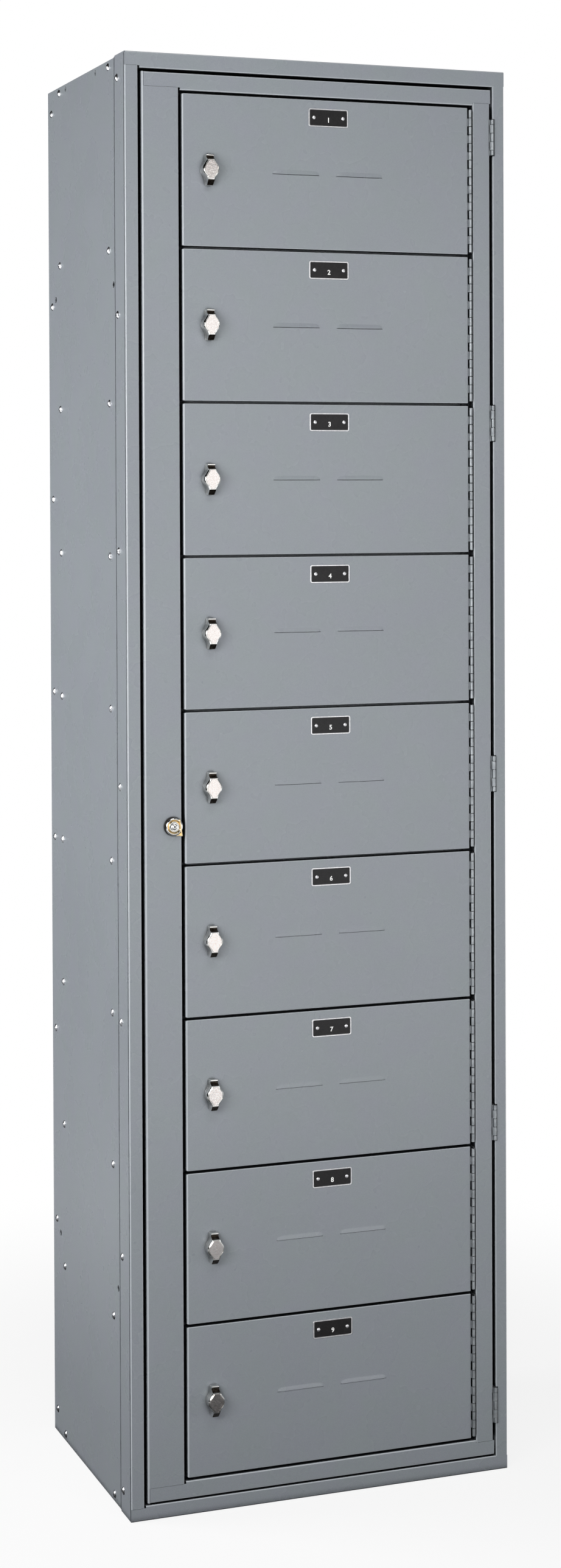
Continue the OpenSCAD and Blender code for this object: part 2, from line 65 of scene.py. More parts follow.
left, front, _, right, _, top = sizes("frame_rails")
frame_t = 1.5           # sheet of the frames
stop_w = 13             # door stop behind the master door's edges
jamb_d = 30
_, upright_y, jamb_z0, upright_x, wrap_y, jamb_z1 = sizes("frame_upright_lock")
stop_y = upright_y + jamb_d
lock_jamb = upright_x - stop_w
hinge_jamb = sizes("frame_upright_hinge")[0] + stop_w
mx0, _, mz0, mx1, master_back, mz1 = sizes("master_rails")
rabbet_w = 12           # stop behind the small doors' edges
rabbet_d = 19.5
_, _, open_z0, stile_x, _, open_z1 = sizes("master_stile_lock")
open_x0 = stile_x - rabbet_w
open_x1 = sizes("master_stile_hinge")[0] + rabbet_w
rabbet_y = front + rabbet_d
tiers = range(1, 10)
doors = {k: sizes(f"door_{k}") for k in tiers}
door_x0, _, _, door_x1, door_back, _ = doors[1]
door_z = {k: (doors[k][2] + doors[k][5]) / 2 for k in tiers}
face_mid = (door_x0 + door_x1) / 2
handle_x = centre("turn_handle_1")[0]
lock_x, _, lock_z = centre("lock_plug")

# ---------------- materials


def rgb(r, g, b):
    """sRGB bytes as a linear colour."""
    def lin(c):
        c /= 255
        return c / 12.92 if c <= 0.04045 else ((c + 0.055) / 1.055) ** 2.4
    return (lin(r), lin(g), lin(b), 1.0)


class Nodes:
    """Short calls to add nodes to a material or a world and to join them."""

    def __init__(self, owner, **values):
        self.owner = owner
        owner.use_nodes = True
        self.tree = owner.node_tree
        self.shader = self.tree.nodes.get("Principled BSDF")
        self.coords = self.add("TexCoord").outputs
        self.shade(**values)

    def add(self, kind, **values):
        n = self.tree.nodes.new("ShaderNode" + kind)
        for key, value in values.items():
            if key.startswith("in_"):
                n.inputs[key[3:].replace("_", " ")].default_value = value
            else:
                setattr(n, key, value)
        return n

    def put(self, source, socket):
        """Links an output to a socket, or sets a constant on it."""
        if isinstance(source, bpy.types.NodeSocket):
            self.tree.links.new(source, socket)
        else:
            socket.default_value = source

    def noise(self, scale, detail=3.0, rough=0.5, stretch=None):
        n = self.add("TexNoise", in_Scale=scale, in_Detail=detail, in_Roughness=rough)
        where = self.coords["Object"]
        if stretch:
            m = self.add("Mapping", in_Scale=stretch)
            self.put(where, m.inputs["Vector"])
            where = m.outputs["Vector"]
        self.put(where, n.inputs["Vector"])
        return n.outputs["Fac"]

    def ranged(self, source, low, high, from_low=0.3, from_high=0.7):
        """The source eased from one range of values to another."""
        n = self.add("MapRange", interpolation_type="SMOOTHSTEP", in_From_Min=from_low,
                     in_From_Max=from_high, in_To_Min=low, in_To_Max=high)
        self.put(source, n.inputs["Value"])
        return n.outputs["Result"]

    def maths(self, kind, *sources):
        n = self.add("Math", operation=kind)
        for i, source in enumerate(sources):
            self.put(source, n.inputs[i])
        return n.outputs[0]

    def apart(self, vector):
        n = self.add("SeparateXYZ")
        self.put(vector, n.inputs[0])
        return n.outputs

    def mix(self, factor, a, b):
        """Two colours, or outputs of colour, mixed by a factor."""
        n = self.add("Mix", data_type="RGBA")
        for i, source in ((0, factor), (6, a), (7, b)):
            self.put(source, n.inputs[i])
        return n.outputs[2]

    def join(self, factor, a, b):
        """Two shaders mixed by a factor."""
        n = self.add("MixShader")
        for i, source in enumerate((factor, a, b)):
            self.put(source, n.inputs[i])
        return n.outputs[0]

    def show_directly(self, lit, seen, output):
        """Lights the scene with one shader and shows the other where it is in plain view."""
        direct = self.add("LightPath").outputs["Is Camera Ray"]
        self.put(self.join(direct, lit, seen), self.tree.nodes[output].inputs["Surface"])

    def bump(self, height, distance, strength=1.0, normal=None):
        n = self.add("Bump", in_Strength=strength, in_Distance=distance)
        self.put(height, n.inputs["Height"])
        if normal is not None:
            self.put(normal, n.inputs["Normal"])
        return n.outputs["Normal"]

    def shade(self, **sources):
        """Feeds sockets of the shader, named with _ for a space."""
        for key, source in sources.items():
            self.put(source, self.shader.inputs[key.replace("_", " ")])


def new_material(name, **values):
    return Nodes(bpy.data.materials.new(name), **values)


def enamel():
    """Baked blue-grey enamel: tone drift, speckle, orange peel, a painted highlight on bends and
    painted shade in gaps.
    """
    m = new_material("enamel")
    drift = m.ranged(m.noise(3.2, 2), 0, 1)
    cool = m.ranged(m.noise(26, 3), 0, 1)
    tone = m.mix(drift, rgb(139, 144, 150), rgb(144, 150, 155))
    patch = m.mix(cool, rgb(142, 145, 154), rgb(140, 148, 150))
    smooth = m.mix(m.ranged(m.noise(90, 2), 0.35, 0.75), tone, patch)
    speck = m.mix(m.ranged(m.noise(640, 3, 0.6), 0, 1), rgb(134, 138, 145), rgb(149, 155, 160))
    base = m.mix(m.ranged(m.noise(300, 1), 0.2, 0.4), smooth, speck)
    # bends face between the front and the sides of a piece; a painted highlight lightens them
    # towards rgb(214, 219, 224)
    facing = m.maths("ABSOLUTE", m.apart(m.coords["Normal"])["Y"])
    painted_bend_highlight = m.maths("MULTIPLY", m.ranged(facing, 0, 0.55, 0.985, 0.9),
                   m.ranged(facing, 0, 1, 0.4, 0.75))
    base_with_painted_highlight = m.mix(painted_bend_highlight, base, rgb(214, 219, 224))
    # painted shade: where other surfaces stand close, in gaps and creases, the colour goes to
    # near-black rgb(16, 17, 19) and the reflection weakens
    reach = m.add("AmbientOcclusion", samples=6, in_Distance=0.02).outputs["AO"]
    peel = m.bump(m.noise(420, 2, 0.4), 0.00003)
    m.shade(Base_Color=m.mix(m.ranged(reach, 0.02, 1, 0.34, 0.72), rgb(16, 17, 19), base_with_painted_highlight),
            Specular_IOR_Level=m.ranged(reach, 0.02, 0.55, 0.34, 0.72),
            Roughness=m.ranged(m.noise(14, 3), 0.26, 0.295),
            Normal=m.bump(m.noise(5.5, 1), 0.0006, 0.5, peel))
    return m.owner


def zinc():
    """Bright zinc plating with its crystal mottle."""
    m = new_material("zinc", Metallic=1.0)
    spangle = m.add("TexVoronoi", in_Scale=260.0)
    m.put(m.coords["Object"], spangle.inputs["Vector"])
    m.shade(Base_Color=m.mix(m.ranged(spangle.outputs["Distance"], 0, 1, 0, 0.8),
                             rgb(216, 217, 219), rgb(192, 194, 198)),
            Roughness=m.ranged(m.noise(180, 4), 0.22, 0.36),
            Normal=m.bump(m.noise(700, 3), 0.00003, 0.6))
    return m.owner


def finish(name, tones, rough, grain=None, **values):
    """A finish whose tone, roughness and relief each follow a noise. tones is (noise, colour,
    colour), rough is (noise, low, high) and grain is (noise, distance, strength)."""
    m = new_material(name, **values)
    m.shade(Base_Color=m.mix(m.ranged(m.noise(*tones[0]), 0, 1), tones[1], tones[2]),
            Roughness=m.ranged(m.noise(*rough[0]), rough[1], rough[2]))
    if grain:
        m.shade(Normal=m.bump(m.noise(*grain[0]), grain[1], grain[2]))
    return m.owner


ENAMEL = enamel()
ZINC = zinc()
# dark beads down the sides: sealer that also stands in for the shadow of the joints (painted shade)
SEALER_AND_SHADE = finish("joint_sealer_and_shade", ((40, 3), rgb(52, 55, 60), rgb(78, 82, 88)),
                ((300, 3), 0.5, 0.7), ((350, 2), 0.00008, 0.7), Specular_IOR_Level=0.3)
# plated and buffed, with faint haze and fine buffing lines
CHROME = finish("chrome", ((60, 3), rgb(224, 223, 219), rgb(236, 236, 234)),
                ((160, 4), 0.07, 0.16), ((900, 2, 0.5, (1, 1, 0.2)), 0.00002, 0.6), Metallic=1.0)
# the finely pebbled field on the handle's face
CAST = finish("cast_chrome", ((800, 2), rgb(250, 247, 245), rgb(232, 222, 217)),
              ((300, 3), 0.14, 0.24), ((640, 2, 0.45), 0.00016, 0.5), Metallic=1.0)
# warm lacquered brass with a soft polish haze
BRASS = finish("brass", ((110, 3), rgb(214, 190, 146), rgb(236, 218, 182)),
               ((200, 4), 0.14, 0.24), ((900, 2), 0.00002, 0.6), Metallic=1.0)
# satin plated strip of the hinges, drawn lengthwise
HINGE = finish("hinge_steel", ((120, 3), rgb(158, 163, 167), rgb(180, 185, 188)),
               ((220, 3, 0.5, (1, 1, 0.1)), 0.5, 0.62),
               ((900, 2, 0.5, (1, 1, 0.15)), 0.00003, 0.6), Metallic=1.0)
# plating made dark on the knob's scoop and lower slope and round the bezel's foot: painted shade
SHADED_PLATING = finish("plating_painted_shade", ((260, 3), rgb(44, 38, 33), rgb(84, 76, 68)),
                ((400, 3), 0.26, 0.42), ((1100, 2), 0.00003, 0.6), Metallic=1.0)
# black print on the plates, with a soft print grain
BLACK = finish("printed_black", ((500, 3), rgb(12, 11, 13), rgb(24, 22, 24)),
               ((220, 3), 0.34, 0.48), ((1100, 2), 0.00002, 0.5), Specular_IOR_Level=0.45)
# bare satin aluminium of the plates' borders and rivets
SILVER = finish("bare_silver", ((400, 3), rgb(226, 226, 230), rgb(246, 246, 247)),
                ((300, 3), 0.28, 0.42), ((1400, 2, 0.5, (0.2, 1, 1)), 0.00002, 0.6), Metallic=0.75)
# print of the digits
WHITE = finish("white_print", ((900, 3), rgb(236, 236, 234), rgb(252, 252, 250)),
               ((400, 2), 0.4, 0.55), Specular_IOR_Level=0.4)
# painted shade: near-black inside the keyway and on the hinge pins, which show only in the gaps
# between knuckles
SHADE_BLACK = finish("painted_shade_black", ((600, 3), rgb(8, 8, 9), rgb(20, 19, 18)),
              ((300, 2), 0.5, 0.7), Specular_IOR_Level=0.2)

# ---------------- mesh tools


def shell(verts, faces, marks=None):
    """A bmesh from vertices in millimetres; marks gives each face's material index."""
    bm = bmesh.new()
    made = [bm.verts.new(Vector(v) * MM) for v in verts]
    for i, face in enumerate(faces):
        f = bm.faces.new([made[j] for j in face])
        if marks:
            f.material_index = marks[i]
    return bm


def mesh_of(bm, name="part"):
    """A mesh made of a bmesh, which is freed."""
    mesh = bpy.data.meshes.new(name)
    bm.to_mesh(mesh)
    bm.free()
    return mesh


def linked(name, data):
    o = bpy.data.objects.new(name, data)
    scene.collection.objects.link(o)
    return o


def add_to(bm, other):
    """Adds a second bmesh to the first and frees it."""
    mesh = mesh_of(other)
    bm.from_mesh(mesh)
    bpy.data.meshes.remove(mesh)
    return bm


def copies(bm, places):
    """The shape repeated at each 4x4 place, whose shift is in metres."""
    mesh = mesh_of(bm)
    out = bmesh.new()
    for place in places:
        one = bmesh.new()
        one.from_mesh(mesh)
        bmesh.ops.transform(one, matrix=place, verts=one.verts)
        if place.determinant() < 0:
            bmesh.ops.reverse_faces(one, faces=one.faces)
        add_to(out, one)
    bpy.data.meshes.remove(mesh)
    return out


def at(x=0, y=0, z=0, turn=None):
    place = Matrix.Translation(Vector((x, y, z)) * MM)
    return place @ turn if turn else place


MIRROR = Matrix.Diagonal((-1, 1, 1, 1))


def piece(name, bm, body, slot, materials, replaces=(), closed=True, thick=0, angle=38):
    """Makes a shown piece: smooth within bends, sharp where edges turn more than angle degrees,
    riding on its body. thick grows an open skin into sheet."""
    if closed:
        bmesh.ops.recalc_face_normals(bm, faces=bm.faces)
    mesh = mesh_of(bm, name)
    o = linked(name, mesh)
    for m in materials:
        mesh.materials.append(m)
    if thick:
        solid = o.modifiers.new("sheet", "SOLIDIFY")
        solid.thickness = thick * MM
        solid.offset = -1
        solid.use_even_offset = True
        mesh = baked(o)
    limit = math.radians(angle)
    edges = bmesh.new()
    edges.from_mesh(mesh)
    for e in edges.edges:
        e.smooth = len(e.link_faces) == 2 and e.calc_face_angle(3.2) < limit
    for f in edges.faces:
        f.smooth = True
    edges.to_mesh(mesh)
    edges.free()
    even = o.modifiers.new("even", "WEIGHTED_NORMAL")
    even.keep_sharp = True
    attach(o, body)
    if replaces:
        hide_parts(*replaces)
    return o


def enamelled(name, bm, body, replaces, **values):
    return piece(name, bm, body, "enamel", [ENAMEL], [replaces], **values)


def evaluated(o):
    """The mesh of an object as its modifiers or its curve make it."""
    graph = bpy.context.evaluated_depsgraph_get()
    return bpy.data.meshes.new_from_object(o.evaluated_get(graph))


def baked(o):
    """Applies an object's modifiers to its mesh."""
    mesh = evaluated(o)
    o.modifiers.clear()
    old = o.data
    o.data = mesh
    bpy.data.meshes.remove(old)
    return mesh


def boolean(bm, other, operation):
    """bm with the other closed shape taken out of it or joined to it."""
    bmesh.ops.recalc_face_normals(bm, faces=bm.faces)
    bmesh.ops.recalc_face_normals(other, faces=other.faces)
    objects = [linked("part", mesh_of(shape)) for shape in (bm, other)]
    m = objects[0].modifiers.new("cut", "BOOLEAN")
    m.operation = operation
    m.solver = "EXACT"
    m.object = objects[1]
    mesh = baked(objects[0])
    out = bmesh.new()
    out.from_mesh(mesh)
    for o in objects:
        data = o.data
        bpy.data.objects.remove(o)
        bpy.data.meshes.remove(data)
    return out


def cuboid(x0, y0, z0, x1, y1, z1):
    v = [(x, y, z) for x in (x0, x1) for y in (y0, y1) for z in (z0, z1)]
    return shell(v, [(0, 1, 3, 2), (4, 6, 7, 5), (0, 4, 5, 1), (2, 3, 7, 6), (0, 2, 6, 4),
                     (1, 5, 7, 3)])


def prism(low, high):
    """Closed shape between two outlines of equal length."""
    n = len(low)
    faces = [tuple(range(n)), tuple(range(n, 2 * n))]
    faces += [(i, (i + 1) % n, n + (i + 1) % n, n + i) for i in range(n)]
    return shell(low + high, faces)


def joined(rings):
    """Faces between closed rings of vertex numbers; a side of no length is left out."""
    faces = []
    for low, high in zip(rings, rings[1:]):
        for i, a in enumerate(low):
            k = (i + 1) % len(low)
            face = list(dict.fromkeys((a, low[k], high[k], high[i])))
            if len(face) > 2:
                faces.append(face)
    return faces


def lathe(profile, steps, x=0, y=0, z=0, mark=None):
    """Turned shape about an axis along Y. profile is (radius, depth) pairs from axis to axis."""
    verts, faces, marks = [], [], []
    rings = []
    for r, d in profile:
        if r <= 1e-6:
            rings.append([len(verts)] * steps)
            verts.append((x, y + d, z))
        else:
            rings.append([len(verts) + i for i in range(steps)])
            for i in range(steps):
                a = 2 * math.pi * i / steps
                verts.append((x + r * math.cos(a), y + d, z + r * math.sin(a)))
    for j in range(len(rings) - 1):
        band = joined(rings[j:j + 2])
        faces += band
        marks += [mark[j] if mark else 0] * len(band)
    return shell(verts, faces, marks)


def eased(bm, r=0.3):
    """Rounds every edge of a shape."""
    bmesh.ops.bevel(bm, geom=list(bm.edges), offset=r * MM, segments=2, affect="EDGES")
    return bm


def cut(bm, boxes):
    """Takes boxes (x0, y0, z0, x1, y1, z1) out of a shape, one after the other."""
    for box in boxes:
        bm = boolean(bm, cuboid(*box), "DIFFERENCE")
    return bm


# ---------------- folded sheet


def offset_line(path, d):
    """The path moved sideways by d to its left, corners kept sharp."""
    out = []
    n = len(path)
    dirs = [(Vector(path[i + 1]) - Vector(path[i])).normalized() for i in range(n - 1)]
    for i in range(n):
        a = dirs[max(i - 1, 0)]
        b = dirs[min(i, n - 2)]
        na, nb = Vector((-a.y, a.x)), Vector((-b.y, b.x))
        mid = (na + nb) / (1 + na.dot(nb))
        out.append(Vector(path[i]) + mid * d)
    return out


def folded(path, thick=frame_t, inner=0.8, steps=4):
    """Outline pairs of folded sheet. path is its visible side, and the sheet lies on its left.
    inner is the inside radius of the folds, one for all or a list of one for each."""
    mid = offset_line(path, thick / 2)
    radii = inner if isinstance(inner, list) else [inner] * len(path)
    pairs = []

    def put(p, d):
        n = Vector((-d.y, d.x))
        pairs.append((p - n * thick / 2, p + n * thick / 2))

    for i, p in enumerate(mid):
        if i == 0:
            put(p, (mid[1] - p).normalized())
        elif i == len(mid) - 1:
            put(p, (p - mid[i - 1]).normalized())
        else:
            a = (p - mid[i - 1]).normalized()
            b = (mid[i + 1] - p).normalized()
            turn = math.atan2(a.x * b.y - a.y * b.x, a.dot(b))
            side = 1 if turn > 0 else -1
            r = radii[i - 1] + thick / 2
            start = p - a * (r * math.tan(abs(turn) / 2))
            centre = start + Vector((-a.y, a.x)) * side * r
            for s in range(steps + 1):
                t = turn * s / steps
                c, sn = math.cos(t), math.sin(t)
                d = Vector((a.x * c - a.y * sn, a.x * sn + a.y * c))
                put(centre - Vector((-d.y, d.x)) * side * r, d)
    return pairs


def swept(pairs, low, high, axis):
    """The outline extruded along an axis from low to high. "x" takes outlines in (y, z)."""
    def spot(p, s):
        return (s, p.x, p.y) if axis == "x" else (p.x, p.y, s)
    verts = [spot(p, s) for s in (low, high) for pair in pairs for p in pair]
    faces = []
    k = 2 * len(pairs)
    for a in range(0, k - 2, 2):
        b, c, d = a + 1, a + 2, a + 3
        faces += [(a, c, c + k, a + k), (b, b + k, d + k, d), (a, b, d, c),
                  (a + k, c + k, d + k, b + k)]
    faces += [(0, k, k + 1, 1), (k - 2, k - 1, 2 * k - 1, 2 * k - 2)]
    return shell(verts, faces)


# ---------------- outer frame

seam = 3.6          # how far an upright's face runs on past the rail's inner edge
hinge_seam = 1.8
notch = 2.5         # relief in the rails at the frame's inner corners
hairline = 0.35     # joint left open between two butted sheets


def mirrored(bm, axes):
    bmesh.ops.transform(bm, matrix=Matrix.Diagonal((*axes, 1)), verts=bm.verts)
    if axes[0] * axes[1] * axes[2] < 0:
        bmesh.ops.reverse_faces(bm, faces=bm.faces)
    return bm


def span(a, b, z0, z1, y0=front - 5, y1=stop_y + 9):
    """A cutting box from x = a to b between two heights given in either order."""
    return (min(a, b), y0, min(z0, z1), max(a, b), y1, max(z0, z1))


def frame_upright(outer, jamb, run_on):
    """Upright with its wrap, face, jamb and stop. Its face ends on the rails' seams."""
    side = 1 if outer > 0 else -1
    path = [(-abs(outer), wrap_y), (-abs(outer), front), (-abs(jamb), front),
            (-abs(jamb), stop_y - frame_t), (-abs(jamb) + stop_w, stop_y - frame_t)]
    bm = swept(folded(path, inner=0.4), 0, top, "z")
    if side > 0:
        mirrored(bm, (-1, 1, 1))
    boxes = []
    skin = outer - side * (frame_t + 0.3)
    past = outer - side * 60
    for z, s in ((jamb_z0, -1), (jamb_z1, 1)):
        end, far = z + s * run_on, z + s * 40
        boxes.append(span(outer + side, past, end, far, y1=front + frame_t + hairline))
        boxes.append(span(skin, past, end, far))
        boxes.append(span(skin, past, z, far, y0=front + 2.6))
    return cut(bm, boxes + [(hinge_jamb - 1, front - 1, z - 28, hinge_jamb + 3.6, front + 5, z + 28)
                            for z in butt_z if side > 0])


def frame_rails():
    bm = bmesh.new()
    for z_out, z_in, s in ((top, jamb_z1, -1), (0, jamb_z0, 1)):
        path = [(wrap_y, -s * z_out), (front, -s * z_out), (front, -s * z_in),
                (stop_y - frame_t, -s * z_in), (stop_y - frame_t, -s * z_in - stop_w)]
        rail = swept(folded(path, inner=0.4), left + 0.05, right - 0.05, "x")
        mirrored(rail, (1, 1, -s))
        far = z_in + s * 40
        near = z_in + s * 0.01
        boxes = [span(left - 1, lock_jamb + notch, z_in - s * (seam - hairline), far),
                 span(hinge_jamb, right + 1, z_in - s * (hinge_seam - hairline), far),
                 span(lock_jamb - 1, lock_jamb + stop_w, near, far, y0=stop_y - frame_t - 2),
                 span(hinge_jamb + 1, hinge_jamb - stop_w, near, far, y0=stop_y - frame_t - 2),
                 span(left - 1, left + frame_t + 0.2, z_out + 1, z_in - s * 30,
                      y0=front + frame_t),
                 span(right + 1, right - frame_t - 0.2, z_out + 1, z_in - s * 30,
                      y0=front + frame_t)]
        if s < 0:
            boxes.append((left - 1, front - 1, top - 2.2, left + 1.3, front + 4, top + 1))
        add_to(bm, cut(rail, boxes))
    return bm


butt_x, butt_y, butt_mid = centre("master_hinge_pins")
butt_h = 54
butt_end = sizes("master_hinge_pins")[5] - butt_mid - butt_h / 2
butt_z = [butt_mid + d for d in (-butt_end, -top / 4, 0, top / 4, butt_end)]

enamelled("outer_upright_lock", frame_upright(left, lock_jamb, seam), "cabinet",
          "frame_upright_lock")
enamelled("outer_upright_hinge", frame_upright(right, hinge_jamb, hinge_seam), "cabinet",
          "frame_upright_hinge")
enamelled("outer_rails", frame_rails(), "cabinet", "frame_rails")

# ---------------- master door

door_seam = 4.2         # how far a stile's face runs on past the rail's inner edge
door_column = 3.2       # strip of the lock stile that runs past the rails' ends
hem = 12
behind = master_back + 9


def stile_path(outer, inner):
    """Outline of a stile whose outer edge lies at the lower x."""
    return [(outer + hem, master_back), (outer, master_back), (outer, front), (inner, front),
            (inner, rabbet_y - frame_t), (inner + rabbet_w, rabbet_y - frame_t)]


def master_stile_lock():
    bm = swept(folded(stile_path(mx0, open_x0), inner=[0.8, 3.2, 0.3, 0.8]), mz0, mz1, "z")
    boxes = []
    for z, s in ((open_z0, -1), (open_z1, 1)):
        far = z + s * 40
        boxes.append(span(mx0 + door_column, open_x0 + 30, z + s * door_seam, far, y1=behind))
        boxes.append(span(mx0 + frame_t + 0.3, open_x0 + 30, z, far, y0=front + 3, y1=behind))
    hole = lathe([(0, -4), (8.05, -4), (8.05, 4), (0, 4)], 32, lock_x, front, lock_z)
    return boolean(cut(bm, boxes), hole, "DIFFERENCE")


def master_stile_hinge():
    bm = swept(folded(stile_path(-mx1, -open_x1)), open_z0 - door_seam, open_z1 + door_seam, "z")
    mirrored(bm, (-1, 1, 1))
    return cut(bm, [span(open_x1 - 30, mx1 + 1, z, z + s * 40, y0=front + 3, y1=behind)
                    for z, s in ((open_z0, -1), (open_z1, 1))])


def master_rails():
    bm = bmesh.new()
    for z_out, z_in, s in ((mz1, open_z1, -1), (mz0, open_z0, 1)):
        path = [(master_back, -s * z_out - hem), (master_back, -s * z_out), (front, -s * z_out),
                (front, -s * z_in), (rabbet_y - frame_t, -s * z_in),
                (rabbet_y - frame_t, -s * z_in - rabbet_w)]
        x0 = mx0 + door_column + hairline
        x1 = mx1 + (1.0 if s < 0 else 1.6)
        rail = mirrored(swept(folded(path), x0, x1, "x"), (1, 1, -s))
        lip = z_in - s * (door_seam - hairline)
        far = z_in + s * 40
        near = z_in + s * 0.01
        boxes = [span(x0 - 1, open_x0 + notch, lip, far, y1=behind),
                 span(open_x1, x1 + 1, lip, far, y1=behind),
                 span(open_x0 - 1, open_x0 + rabbet_w, near, far, y0=rabbet_y - frame_t - 2),
                 span(open_x1 + 1, open_x1 - rabbet_w, near, far, y0=rabbet_y - frame_t - 2)]
        add_to(bm, cut(rail, boxes))
    return bm


enamelled("door_stile_lock", master_stile_lock(), "master_door", "master_stile_lock")
enamelled("door_stile_hinge", master_stile_hinge(), "master_door", "master_stile_hinge")
enamelled("door_rails", master_rails(), "master_door", "master_rails")

# ---------------- small doors

louvre_a = 36.8         # half the length of a louvre
louvre_rise = 6.5       # height of its swelling above its lip
louvre_out = 0.27 * (front - doors[1][1])    # low swelling within the CAD louvre's reach
louvre_drop = 0.8       # from a door's middle down to the louvres' lips
louvre_slot = 0.7
louvre_x = [face_mid + 0.5 + d for d in (-50.5, 50.5)]
louvre_cols, louvre_rows = 22, 9
pan_inset = 0.9
bend_left, bend_right, bend_ends = 3.6, 1.1, 1.3
patch, patch_up = 13.0, 14.3    # square round the shaft's hole, from the shaft's axis
shaft_hole_r = 5.4
near_enough = 1e-3


def louvre_bump(x, z, xc, zb):
    """How far the pressed louvre stands out of the face at a point above its lip."""
    u = abs(x - xc) / louvre_a
    if u >= 1 or z < zb - 1e-6:
        return 0.0
    rise = louvre_rise * (1 - u ** 8) ** 0.5
    s = max(z - zb, 0) / max(rise, 1e-3)
    if s >= 1:
        return 0.0
    return louvre_out * max(1 - u ** 14, 0) ** 0.6 * (1 - s ** 1.4) ** 1.2


def door_lines(k):
    """The x and z lines of the grid on a door's face, which are close together at the louvres."""
    x0, _, z0, x1, _, z1 = doors[k]
    mid = door_z[k]
    lip = mid - louvre_drop
    xs = {x0 + pan_inset + bend_left, x1 - bend_right, handle_x - patch, handle_x + patch}
    for c in louvre_x:
        for i in range(louvre_cols + 1):
            t = -math.cos(math.pi * i / louvre_cols)
            xs.add(round(c + louvre_a * (0.55 * t + 0.45 * (2 * i / louvre_cols - 1)), 4))
    zs = {z0 + bend_ends, z1 - bend_ends, mid - patch, mid + patch_up, lip - louvre_slot}
    for j in range(louvre_rows + 1):
        zs.add(round(lip + (louvre_rise + 0.2) * (j / louvre_rows), 4))
    return sorted(xs), sorted(zs)


def edge_walk(xs, zs):
    """Grid points round a face, each with the way its bend heads; corners have a fan of ways."""
    edge = [("b", i, 0) for i in range(len(xs))]
    edge += [("r", len(xs) - 1, j) for j in range(len(zs))]
    edge += [("t", i, len(zs) - 1) for i in reversed(range(len(xs)))]
    edge += [("l", 0, j) for j in reversed(range(len(zs)))]
    out = {"b": (0, -1), "r": (1, 0), "t": (0, 1), "l": (-1, 0)}
    walk = []
    for (side, i, j), (then, _, _) in zip(edge, edge[1:] + edge[:1]):
        a, b = out[side], out[then]
        walk.append((i, j, a))
        for t in (math.pi / 6, math.pi / 3) if then != side else ():
            c, sn = math.cos(t), math.sin(t)
            walk.append((i, j, (a[0] * c + b[0] * sn, a[1] * c + b[1] * sn)))
    return walk


def door_surface(k, steps=5):
    """Outer skin of a door pan: face with two louvres and a shaft hole, bends and flanges."""
    xs, zs = door_lines(k)
    mid = door_z[k]
    lip = mid - louvre_drop
    low, high = mid - patch, mid + patch_up
    verts, faces, index = [], [], {}

    def vertex(key, p):
        if key not in index:
            index[key] = len(verts)
            verts.append(p)
        return index[key]

    def node(i, j):
        y = front - sum(louvre_bump(xs[i], zs[j], c, lip) for c in louvre_x)
        return vertex((i, j), (xs[i], y, zs[j]))

    for i in range(len(xs) - 1):
        for j in range(len(zs) - 1):
            xm, zm = (xs[i] + xs[i + 1]) / 2, (zs[j] + zs[j + 1]) / 2
            in_louvre = any(abs(xm - c) < louvre_a - 0.01 for c in louvre_x)
            slot = in_louvre and lip - louvre_slot < zm < lip
            shaft = abs(xm - handle_x) < patch and low < zm < high
            if not slot and not shaft:
                faces.append([node(i, j), node(i + 1, j), node(i + 1, j + 1), node(i, j + 1)])

    def bearing(ij):
        return math.atan2(zs[ij[1]] - mid, xs[ij[0]] - handle_x)

    # the ring of faces between the square left open and the shaft's round hole
    e = near_enough
    square = [(i, j) for i, x in enumerate(xs) for j, z in enumerate(zs)
              if abs(x - handle_x) < patch + e and low - e < z < high + e
              and (abs(abs(x - handle_x) - patch) < e or abs(z - low) < e or abs(z - high) < e)]
    ring = []
    for n, ij in enumerate(sorted(square, key=bearing)):
        a = bearing(ij)
        ring.append((node(*ij), vertex(("hole", n), (handle_x + shaft_hole_r * math.cos(a), front,
                                                     mid + shaft_hole_r * math.sin(a)))))
    faces += [[a[0], b[0], b[1], a[1]] for a, b in zip(ring, ring[1:] + ring[:1])]

    # bends and flanges round the edge
    walk = edge_walk(xs, zs)
    rings = [[node(i, j) for i, j, _ in walk]]
    for s in range(1, steps + 2):
        turn = math.pi / 2 * min(s, steps) / steps
        row = []
        for n, (i, j, (dx, dz)) in enumerate(walk):
            across = bend_left if dx < 0 else bend_right
            r = across * dx * dx + bend_ends * dz * dz
            deep = door_back - front if s > steps else r * (1 - math.cos(turn))
            grow = math.sin(turn)
            row.append(vertex(("edge", s, n), (xs[i] + dx * across * grow, front + deep,
                                               zs[j] + dz * bend_ends * grow)))
        rings.append(row)
    return verts, faces + joined(rings)


def door_pan(k):
    """The door's skin, turned so that its outer side looks out."""
    bm = shell(*door_surface(k))
    bmesh.ops.recalc_face_normals(bm, faces=bm.faces)
    if sum(f.normal.y * f.calc_area() for f in bm.faces) > 0:
        bmesh.ops.reverse_faces(bm, faces=bm.faces)
    return bm


for k in tiers:
    enamelled(f"door_pan_{k}", door_pan(k), f"door_{k}", f"door_{k}", closed=False, thick=1.2,
              angle=33)

# ---------------- number plates

plate_w, plate_h, plate_r = 63, 27, 3.0
plate_t = 0.9
plate_field = 0.79      # depth at which the digit is printed
digit_h, digit_drop = 7.2, 3.0
rivet_x, rivet_r = 23, 2.7


def rounded(w, h, r, steps=4):
    """Points of a rounded rectangle about the origin, anticlockwise."""
    out = []
    for cx, cz, a0 in ((w / 2 - r, h / 2 - r, 0), (-w / 2 + r, h / 2 - r, 90),
                       (-w / 2 + r, -h / 2 + r, 180), (w / 2 - r, -h / 2 + r, 270)):
        for s in range(steps + 1):
            a = math.radians(a0 + 90 * s / steps)
            out.append((cx + r * math.cos(a), cz + r * math.sin(a)))
    return out


